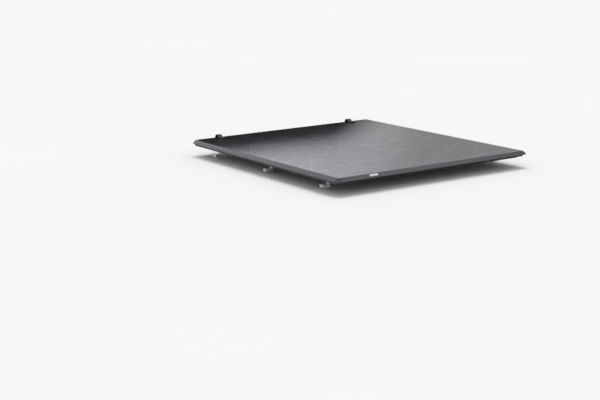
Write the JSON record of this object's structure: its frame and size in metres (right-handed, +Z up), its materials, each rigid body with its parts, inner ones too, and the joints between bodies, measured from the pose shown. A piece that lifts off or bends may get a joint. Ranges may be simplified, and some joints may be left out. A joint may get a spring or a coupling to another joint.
{
  "type": "roll-up tonneau cover",
  "caption": "Low soft roll-up cover for a pickup bed: grained vinyl on bows between clamped side rails, with a latched rear bar that rolls to the cab.",
  "frame": {"origin": "middle of the front header's seat, on the plane of the bed rails", "axes": "+X to the right, +Y forward to the cab, +Z up"},
  "size_m": [1.738, 1.966, 0.152],
  "materials": {
    "vinyl": "black grained vinyl, satin",
    "coated_aluminium": "satin black powder coat",
    "mill_aluminium": "mill finish, faint die lines",
    "zinc_steel": "zinc plated",
    "black_nylon": "moulded black nylon, fine texture",
    "hook_tape": "black hook tape",
    "seal_rubber": "black sponge rubber",
    "webbing": "black woven webbing"
  },
  "bodies": {
    "side_rails": {"left_side_rail": "coated_aluminium", "right_side_rail": "coated_aluminium", "left_hook_strip": "hook_tape", "right_hook_strip": "hook_tape", "left_rail_seal": "seal_rubber", "right_rail_seal": "seal_rubber", "rail_end_plugs": "black_nylon", "tension_blocks": "mill_aluminium", "clamp_brackets": "mill_aluminium", "clamp_bolts": "zinc_steel"},
    "front_header": {"header": "coated_aluminium", "header_brackets": "mill_aluminium", "header_seal": "seal_rubber", "header_screws": "zinc_steel", "front_cover": "vinyl", "storage_straps": "webbing", "strap_buckles": "black_nylon"},
    "left_tension": {"left_tension_screw": "zinc_steel", "left_tension_knob": "black_nylon"},
    "right_tension": {"right_tension_screw": "zinc_steel", "right_tension_knob": "black_nylon"},
    "left_front_jaw": {"left_front_jaw": "mill_aluminium"},
    "left_middle_jaw": {"left_middle_jaw": "mill_aluminium"},
    "left_rear_jaw": {"left_rear_jaw": "mill_aluminium"},
    "right_front_jaw": {"right_front_jaw": "mill_aluminium"},
    "right_middle_jaw": {"right_middle_jaw": "mill_aluminium"},
    "right_rear_jaw": {"right_rear_jaw": "mill_aluminium"},
    "strip_01": {"cover_strip_01": "vinyl"},
    "strip_02": {"cover_strip_02": "vinyl"},
    "strip_03": {"cover_strip_03": "vinyl", "bow_1": "mill_aluminium"},
    "strip_04": {"cover_strip_04": "vinyl"},
    "strip_05": {"cover_strip_05": "vinyl"},
    "strip_06": {"cover_strip_06": "vinyl", "bow_2": "mill_aluminium"},
    "strip_07": {"cover_strip_07": "vinyl"},
    "strip_08": {"cover_strip_08": "vinyl"},
    "strip_09": {"cover_strip_09": "vinyl", "bow_3": "mill_aluminium"},
    "strip_10": {"cover_strip_10": "vinyl"},
    "strip_11": {"cover_strip_11": "vinyl"},
    "strip_12": {"cover_strip_12": "vinyl", "bow_4": "mill_aluminium"},
    "strip_13": {"cover_strip_13": "vinyl"},
    "strip_14": {"cover_strip_14": "vinyl"},
    "strip_15": {"cover_strip_15": "vinyl"},
    "strip_16": {"cover_strip_16": "vinyl"},
    "rear_bar": {"rear_cover": "vinyl", "rear_rail": "coated_aluminium", "rear_end_caps": "black_nylon", "tailgate_seal": "seal_rubber", "latch_plate": "zinc_steel", "latch_guides": "black_nylon", "rear_screws": "zinc_steel"},
    "latch_turn_handle": {"latch_cam": "zinc_steel", "latch_handle": "black_nylon"},
    "left_bolt": {"left_latch_rod": "zinc_steel", "left_latch_bolt": "zinc_steel"},
    "right_bolt": {"right_latch_rod": "zinc_steel", "right_latch_bolt": "zinc_steel"}
  },
  "joints": [
    {"name": "header_slide", "type": "slide", "parent": "side_rails", "child": "front_header", "axis": [0, 1, 0], "range_m": [-0.006, 0.006]},
    {"name": "left_tension_turn", "type": "hinge", "parent": "front_header", "child": "left_tension", "pos_m": [-0.768, -0.1, 0.017], "axis": [0, 1, 0], "range_deg": [-1733, 1733]},
    {"name": "right_tension_turn", "type": "hinge", "parent": "front_header", "child": "right_tension", "pos_m": [0.768, -0.1, 0.017], "axis": [0, 1, 0], "range_deg": [-1733, 1733]},
    {"name": "left_front_jaw_slide", "type": "slide", "parent": "side_rails", "child": "left_front_jaw", "axis": [0, 0, 1], "range_m": [-0.014, 0.012]},
    {"name": "left_middle_jaw_slide", "type": "slide", "parent": "side_rails", "child": "left_middle_jaw", "axis": [0, 0, 1], "range_m": [-0.014, 0.012]},
    {"name": "left_rear_jaw_slide", "type": "slide", "parent": "side_rails", "child": "left_rear_jaw", "axis": [0, 0, 1], "range_m": [-0.014, 0.012]},
    {"name": "right_front_jaw_slide", "type": "slide", "parent": "side_rails", "child": "right_front_jaw", "axis": [0, 0, 1], "range_m": [-0.014, 0.012]},
    {"name": "right_middle_jaw_slide", "type": "slide", "parent": "side_rails", "child": "right_middle_jaw", "axis": [0, 0, 1], "range_m": [-0.014, 0.012]},
    {"name": "right_rear_jaw_slide", "type": "slide", "parent": "side_rails", "child": "right_rear_jaw", "axis": [0, 0, 1], "range_m": [-0.014, 0.012]},
    {"name": "cover_fold_01", "type": "hinge", "parent": "front_header", "child": "strip_01", "pos_m": [0, -0.1995, 0.046], "axis": [-1, 0, 0], "range_deg": [0, 20.96]},
    {"name": "cover_fold_02", "type": "hinge", "parent": "strip_01", "child": "strip_02", "pos_m": [0, -0.3045, 0.046], "axis": [-1, 0, 0], "range_deg": [0, 42.39]},
    {"name": "cover_fold_03", "type": "hinge", "parent": "strip_02", "child": "strip_03", "pos_m": [0, -0.4095, 0.046], "axis": [-1, 0, 0], "range_deg": [0, 43.11]},
    {"name": "cover_fold_04", "type": "hinge", "parent": "strip_03", "child": "strip_04", "pos_m": [0, -0.5145, 0.046], "axis": [-1, 0, 0], "range_deg": [0, 43.87]},
    {"name": "cover_fold_05", "type": "hinge", "parent": "strip_04", "child": "strip_05", "pos_m": [0, -0.6195, 0.046], "axis": [-1, 0, 0], "range_deg": [0, 44.66]},
    {"name": "cover_fold_06", "type": "hinge", "parent": "strip_05", "child": "strip_06", "pos_m": [0, -0.7245, 0.046], "axis": [-1, 0, 0], "range_deg": [0, 45.51]},
    {"name": "cover_fold_07", "type": "hinge", "parent": "strip_06", "child": "strip_07", "pos_m": [0, -0.8295, 0.046], "axis": [-1, 0, 0], "range_deg": [0, 46.4]},
    {"name": "cover_fold_08", "type": "hinge", "parent": "strip_07", "child": "strip_08", "pos_m": [0, -0.9345, 0.046], "axis": [-1, 0, 0], "range_deg": [0, 47.35]},
    {"name": "cover_fold_09", "type": "hinge", "parent": "strip_08", "child": "strip_09", "pos_m": [0, -1.0395, 0.046], "axis": [-1, 0, 0], "range_deg": [0, 48.36]},
    {"name": "cover_fold_10", "type": "hinge", "parent": "strip_09", "child": "strip_10", "pos_m": [0, -1.1445, 0.046], "axis": [-1, 0, 0], "range_deg": [0, 49.44]},
    {"name": "cover_fold_11", "type": "hinge", "parent": "strip_10", "child": "strip_11", "pos_m": [0, -1.2495, 0.046], "axis": [-1, 0, 0], "range_deg": [0, 50.59]},
    {"name": "cover_fold_12", "type": "hinge", "parent": "strip_11", "child": "strip_12", "pos_m": [0, -1.3545, 0.046], "axis": [-1, 0, 0], "range_deg": [0, 51.83]},
    {"name": "cover_fold_13", "type": "hinge", "parent": "strip_12", "child": "strip_13", "pos_m": [0, -1.4595, 0.046], "axis": [-1, 0, 0], "range_deg": [0, 56.04]},
    {"name": "cover_fold_14", "type": "hinge", "parent": "strip_13", "child": "strip_14", "pos_m": [0, -1.5645, 0.046], "axis": [-1, 0, 0], "range_deg": [0, 62.43]},
    {"name": "cover_fold_15", "type": "hinge", "parent": "strip_14", "child": "strip_15", "pos_m": [0, -1.6695, 0.046], "axis": [-1, 0, 0], "range_deg": [0, 71.88]},
    {"name": "cover_fold_16", "type": "hinge", "parent": "strip_15", "child": "strip_16", "pos_m": [0, -1.7745, 0.046], "axis": [-1, 0, 0], "range_deg": [0, 88.34]},
    {"name": "cover_roll", "type": "hinge", "parent": "strip_16", "child": "rear_bar", "pos_m": [0, -1.8795, 0.046], "axis": [-1, 0, 0], "range_deg": [0, 91.45]},
    {"name": "left_bolt_slide", "type": "slide", "parent": "rear_bar", "child": "left_bolt", "axis": [-1, 0, 0], "range_m": [0, 0.01377]},
    {"name": "right_bolt_slide", "type": "slide", "parent": "rear_bar", "child": "right_bolt", "axis": [1, 0, 0], "range_m": [0, 0.01387]},
    {"name": "latch_turn", "type": "hinge", "parent": "rear_bar", "child": "latch_turn_handle", "pos_m": [0, -1.8715, 0.017], "axis": [0, 1, 0], "range_deg": [0, 70.5]}
  ],
  "couplings": [
    {"joint": "left_tension_turn", "follows": "header_slide", "rad_per_m": 5026.5},
    {"joint": "right_tension_turn", "follows": "header_slide", "rad_per_m": 5026.5},
    {"joint": "cover_fold_01", "follows": "cover_roll", "ratio": 0.22696},
    {"joint": "cover_fold_02", "follows": "cover_roll", "ratio": 0.46137},
    {"joint": "cover_fold_03", "follows": "cover_roll", "ratio": 0.46921},
    {"joint": "cover_fold_04", "follows": "cover_roll", "ratio": 0.47748},
    {"joint": "cover_fold_05", "follows": "cover_roll", "ratio": 0.48619},
    {"joint": "cover_fold_06", "follows": "cover_roll", "ratio": 0.49541},
    {"joint": "cover_fold_07", "follows": "cover_roll", "ratio": 0.50518},
    {"joint": "cover_fold_08", "follows": "cover_roll", "ratio": 0.51555},
    {"joint": "cover_fold_09", "follows": "cover_roll", "ratio": 0.52659},
    {"joint": "cover_fold_10", "follows": "cover_roll", "ratio": 0.53838},
    {"joint": "cover_fold_11", "follows": "cover_roll", "ratio": 0.551},
    {"joint": "cover_fold_12", "follows": "cover_roll", "ratio": 0.56456},
    {"joint": "cover_fold_13", "follows": "cover_roll", "ratio": 0.61061},
    {"joint": "cover_fold_14", "follows": "cover_roll", "ratio": 0.68049},
    {"joint": "cover_fold_15", "follows": "cover_roll", "ratio": 0.78381},
    {"joint": "cover_fold_16", "follows": "cover_roll", "ratio": 0.96374},
    {"joint": "right_bolt_slide", "follows": "left_bolt_slide", "ratio": 1},
    {"joint": "latch_turn", "follows": "left_bolt_slide", "rad_per_m": 88.75}
  ]
}
